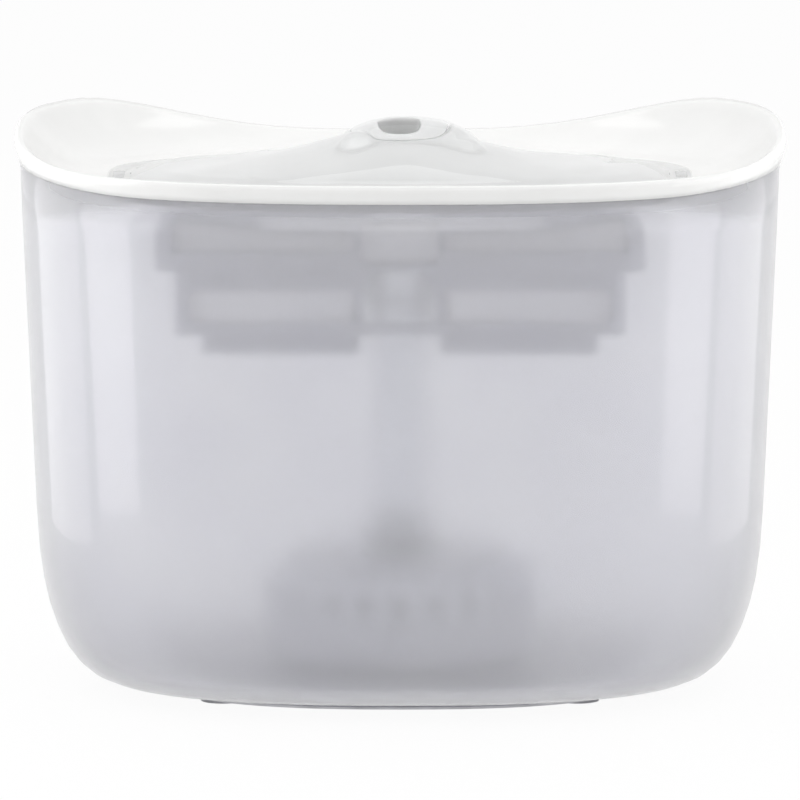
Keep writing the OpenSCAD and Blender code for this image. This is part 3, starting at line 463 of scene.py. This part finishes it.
def water_point(reach, turn):
    """Place on a ring of the water: round over the spout, the table's oval at its edge."""
    half_depth = reach / (1 + (reach / WATER_HALF_DEPTH) ** TURN_IN) ** (1 / TURN_IN)
    power = ROUND + SQUARER * min(1, reach / WATER_EDGE)
    sx, sy = math.sin(turn), -math.cos(turn)
    return (reach * math.copysign(abs(sx) ** (2 / power), sx),
            half_depth * math.copysign(abs(sy) ** (2 / power), sy))


def flat_water():
    """A flat round sheet of rings, extruded outwards from a circle."""
    rings = [reach * MM for reach in FIRST_RINGS]
    while rings[-1] < WATER_EDGE:
        rings.append(rings[-1] + (FINE_STEP if FINE_FROM < rings[-1] < FINE_TO else STEP))
    bpy.ops.object.select_all(action="DESELECT")
    bpy.ops.mesh.primitive_circle_add(vertices=AROUND, radius=rings[0], fill_type="TRIFAN")
    water = bpy.context.object
    water.name = "drinking_water"
    open_mesh(water, "DESELECT")
    bpy.ops.mesh.select_non_manifold()
    for inner, outer in zip(rings, rings[1:]):
        bpy.ops.mesh.extrude_edges_move()
        bpy.ops.transform.resize(value=(outer / inner, outer / inner, 1))
    bpy.ops.mesh.select_all(action="SELECT")
    bpy.ops.mesh.normals_make_consistent(inside=False)
    close_mesh()
    return water


def lay_water(water):
    """Lays the sheet over the tray as the water's surface, and lists the floor under each point."""
    graph = bpy.context.evaluated_depsgraph_get()
    beds = [BVHTree.FromObject(shell, graph) for shell in (tray_shell, nozzle)]
    floors = []
    for v in water.data.vertices:
        over_outlet = v.co.xy.length < OUTLET_REACH
        x, y = water_point(math.hypot(v.co.x, v.co.y), math.atan2(v.co.x, -v.co.y))
        hits = [bed.ray_cast(Vector((x, y, SKY)), Vector((0, 0, -1)))[0] for bed in beds]
        floor = SPOUT_TOP if over_outlet else max([hit.z for hit in hits if hit] + [BASIN_FLOOR])
        if on_table(x, y):
            top = max(floor + FILM + ripple(x, y), WATER_LEVEL)
        else:
            top = WATER_LEVEL + CALM * ripple(x, y)
        floors.append(floor - PLUG if over_outlet else floor)
        v.co = (x, y, swelled(x, y, top))
    return floors


def close_water(water, floors):
    """Softens the surface and closes it with an underside that lies on the floors."""
    open_mesh(water, "SELECT")
    bpy.ops.mesh.vertices_smooth(
        factor=SOFTENING, repeat=SOFTENING_ROUNDS, xaxis=False, yaxis=False, zaxis=True)
    bpy.ops.mesh.duplicate()
    bpy.ops.mesh.flip_normals()
    close_mesh()
    for index, floor in enumerate(floors):
        upper, lower = water.data.vertices[index], water.data.vertices[len(floors) + index]
        lower.co.z = min(floor, upper.co.z) - UNDERSIDE
    open_mesh(water, "DESELECT")
    bpy.ops.mesh.select_non_manifold()
    bpy.ops.mesh.bridge_edge_loops()
    bpy.ops.mesh.select_all(action="SELECT")
    bpy.ops.mesh.normals_make_consistent(inside=False)
    close_mesh()


def running_water():
    """The film over table and mound, the swells over the spout and the water round them, in one."""
    water = flat_water()
    close_water(water, lay_water(water))
    smooth(water, angle=60)
    dress(water, WATER)
    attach(water, "tray")


running_water()


# ---------------------------------------------------------------- floor, light and camera
FLOOR_WIDTH = 6
FLOOR_GLOW = 0.94                      # its own share of its light, the rest shows the shadow
FLOOR_IN_GLOSS = 0.92                  # how bright the floor shows in gloss, where white is 1
LIGHT_ALL_ROUND = 0.67                 # strength of the soft light, where white is 1
CEILING_IN_GLOSS = 0.64                # how bright the ceiling shows in gloss
CEILING_FROM, CEILING_TO = 0.62, 0.92  # rise of the rays that meet its edge and its full dark

SIDE_X, SIDE_Z, SIDE_HEIGHT = 0.24, 0.135, 0.27     # places and height of the side lamps
OBJECT_MIDDLE = (0, 0, 0.08)

FOCAL_LENGTH, SENSOR = 443.25, 36      # mm
CAMERA_DISTANCE, CAMERA_TILT = 2.5, math.radians(8)
CAMERA_AIM = Vector((0, 0, 0.0719))
CAMERA_REACH = 20                      # the camera sees nothing farther than this


def seen_rays(tree):
    """1 on rays from the camera, in gloss and through clear pieces, 0 on rays that gather light."""
    path = put(tree, "ShaderNodeLightPath")
    share = path.outputs["Is Camera Ray"]
    for kind in ("Is Transmission Ray", "Is Glossy Ray"):
        share = put(tree, "ShaderNodeMath", {"operation": "MAXIMUM"}, {
            0: share, 1: path.outputs[kind]}).outputs[0]
    return share


def pale_floor():
    """A matt floor that shows white with the object's shadow on it, a little darker in gloss."""
    bpy.ops.mesh.primitive_plane_add(size=FLOOR_WIDTH)
    floor = bpy.context.object
    floor.name = "floor"
    made, tree, skin, _ = start("Floor_pale_matt", {
        "Base Color": linear("#F2F2F2"), "Roughness": 0.9})
    mirrored = put(tree, "ShaderNodeLightPath").outputs["Is Glossy Ray"]
    level = put(tree, "ShaderNodeMapRange", {
        "To Min": 1.0, "To Max": FLOOR_IN_GLOSS}, {"Value": mirrored})
    lit = put(tree, "ShaderNodeEmission", {}, {"Strength": level.outputs[0]})
    share = put(tree, "ShaderNodeMath", {
        "operation": "MULTIPLY", 1: FLOOR_GLOW}, {0: seen_rays(tree)})
    mixed = put(tree, "ShaderNodeMixShader", {}, {
        0: share.outputs[0], 1: skin.outputs[0], 2: lit.outputs[0]})
    tree.links.new(mixed.outputs[0], tree.nodes["Material Output"].inputs["Surface"])
    dress(floor, made)


def white_world():
    """Soft light from all round, and white behind the object.

    In gloss the ceiling is darker than the walls, which shows the shape of the water.
    """
    world = bpy.data.worlds.new("Studio")
    bpy.context.scene.world = world
    world.use_nodes = True
    tree = world.node_tree
    soft = tree.nodes["Background"]
    soft.inputs["Color"].default_value = linear("#FFFFFF")
    soft.inputs["Strength"].default_value = LIGHT_ALL_ROUND
    way = put(tree, "ShaderNodeSeparateXYZ", {}, {
        0: put(tree, "ShaderNodeTexCoord").outputs["Generated"]})
    high = put(tree, "ShaderNodeMapRange", {
        "From Min": CEILING_FROM, "From Max": CEILING_TO}, {"Value": way.outputs["Z"]})
    gloss = put(tree, "ShaderNodeMath", {"operation": "MULTIPLY"}, {
        0: high.outputs[0], 1: put(tree, "ShaderNodeLightPath").outputs["Is Glossy Ray"]})
    level = put(tree, "ShaderNodeMapRange", {
        "To Min": 1.0, "To Max": CEILING_IN_GLOSS}, {"Value": gloss.outputs[0]})
    white = put(tree, "ShaderNodeBackground", {
        "Color": linear("#FFFFFF")}, {"Strength": level.outputs[0]})
    mixed = put(tree, "ShaderNodeMixShader", {}, {
        0: seen_rays(tree), 1: soft.outputs[0], 2: white.outputs[0]})
    tree.links.new(mixed.outputs[0], tree.nodes["World Output"].inputs["Surface"])


def softbox(name, at, size, power, aim=OBJECT_MIDDLE):
    """A lamp with a rectangular face, turned to its aim, that the camera doesn't see."""
    light = bpy.data.lights.new(name, "AREA")
    light.shape = "RECTANGLE"
    light.size, light.size_y = size
    light.energy = power
    box = bpy.data.objects.new(name, light)
    bpy.context.scene.collection.objects.link(box)
    box.location = at
    box.visible_camera = False
    box.rotation_euler = (Vector(aim) - Vector(at)).to_track_quat("-Z", "Y").to_euler()


def lamps():
    """Two upright lamps a side, whose reflections stand on the tank, and two large soft ones."""
    for kind, y, width, powers, aim in (
            ("box", -0.077, 0.1, (0.118, 0.096), OBJECT_MIDDLE),
            ("panel", 0.068, 0.173, (0.105, 0.08), (0, 0.068, SIDE_Z))):
        for side, x, power in zip(("left", "right"), (-SIDE_X, SIDE_X), powers):
            softbox(f"{side}_{kind}", (x, y, SIDE_Z), (width, SIDE_HEIGHT), power, aim)
    softbox("front_box", at=(0, -1.6, 0.9), size=(1.4, 0.8), power=4.8)
    softbox("top_box", at=(0, 0.1, 1.3), size=(1.4, 1.4), power=6.8)


def camera_in_place():
    """A long lens, level from side to side, that looks a little down on the front."""
    camera = bpy.data.cameras.new("camera")
    camera.lens, camera.sensor_width, camera.sensor_fit = FOCAL_LENGTH, SENSOR, "HORIZONTAL"
    camera.clip_end = CAMERA_REACH
    rig = bpy.data.objects.new("camera", camera)
    bpy.context.scene.collection.objects.link(rig)
    back = Vector((0, -math.cos(CAMERA_TILT), math.sin(CAMERA_TILT)))
    rig.location = CAMERA_AIM + CAMERA_DISTANCE * back
    rig.rotation_euler = (math.pi / 2 - CAMERA_TILT, 0, 0)
    bpy.context.scene.camera = rig


pale_floor()
white_world()
lamps()
camera_in_place()
bpy.context.scene.view_settings.view_transform = "Standard"
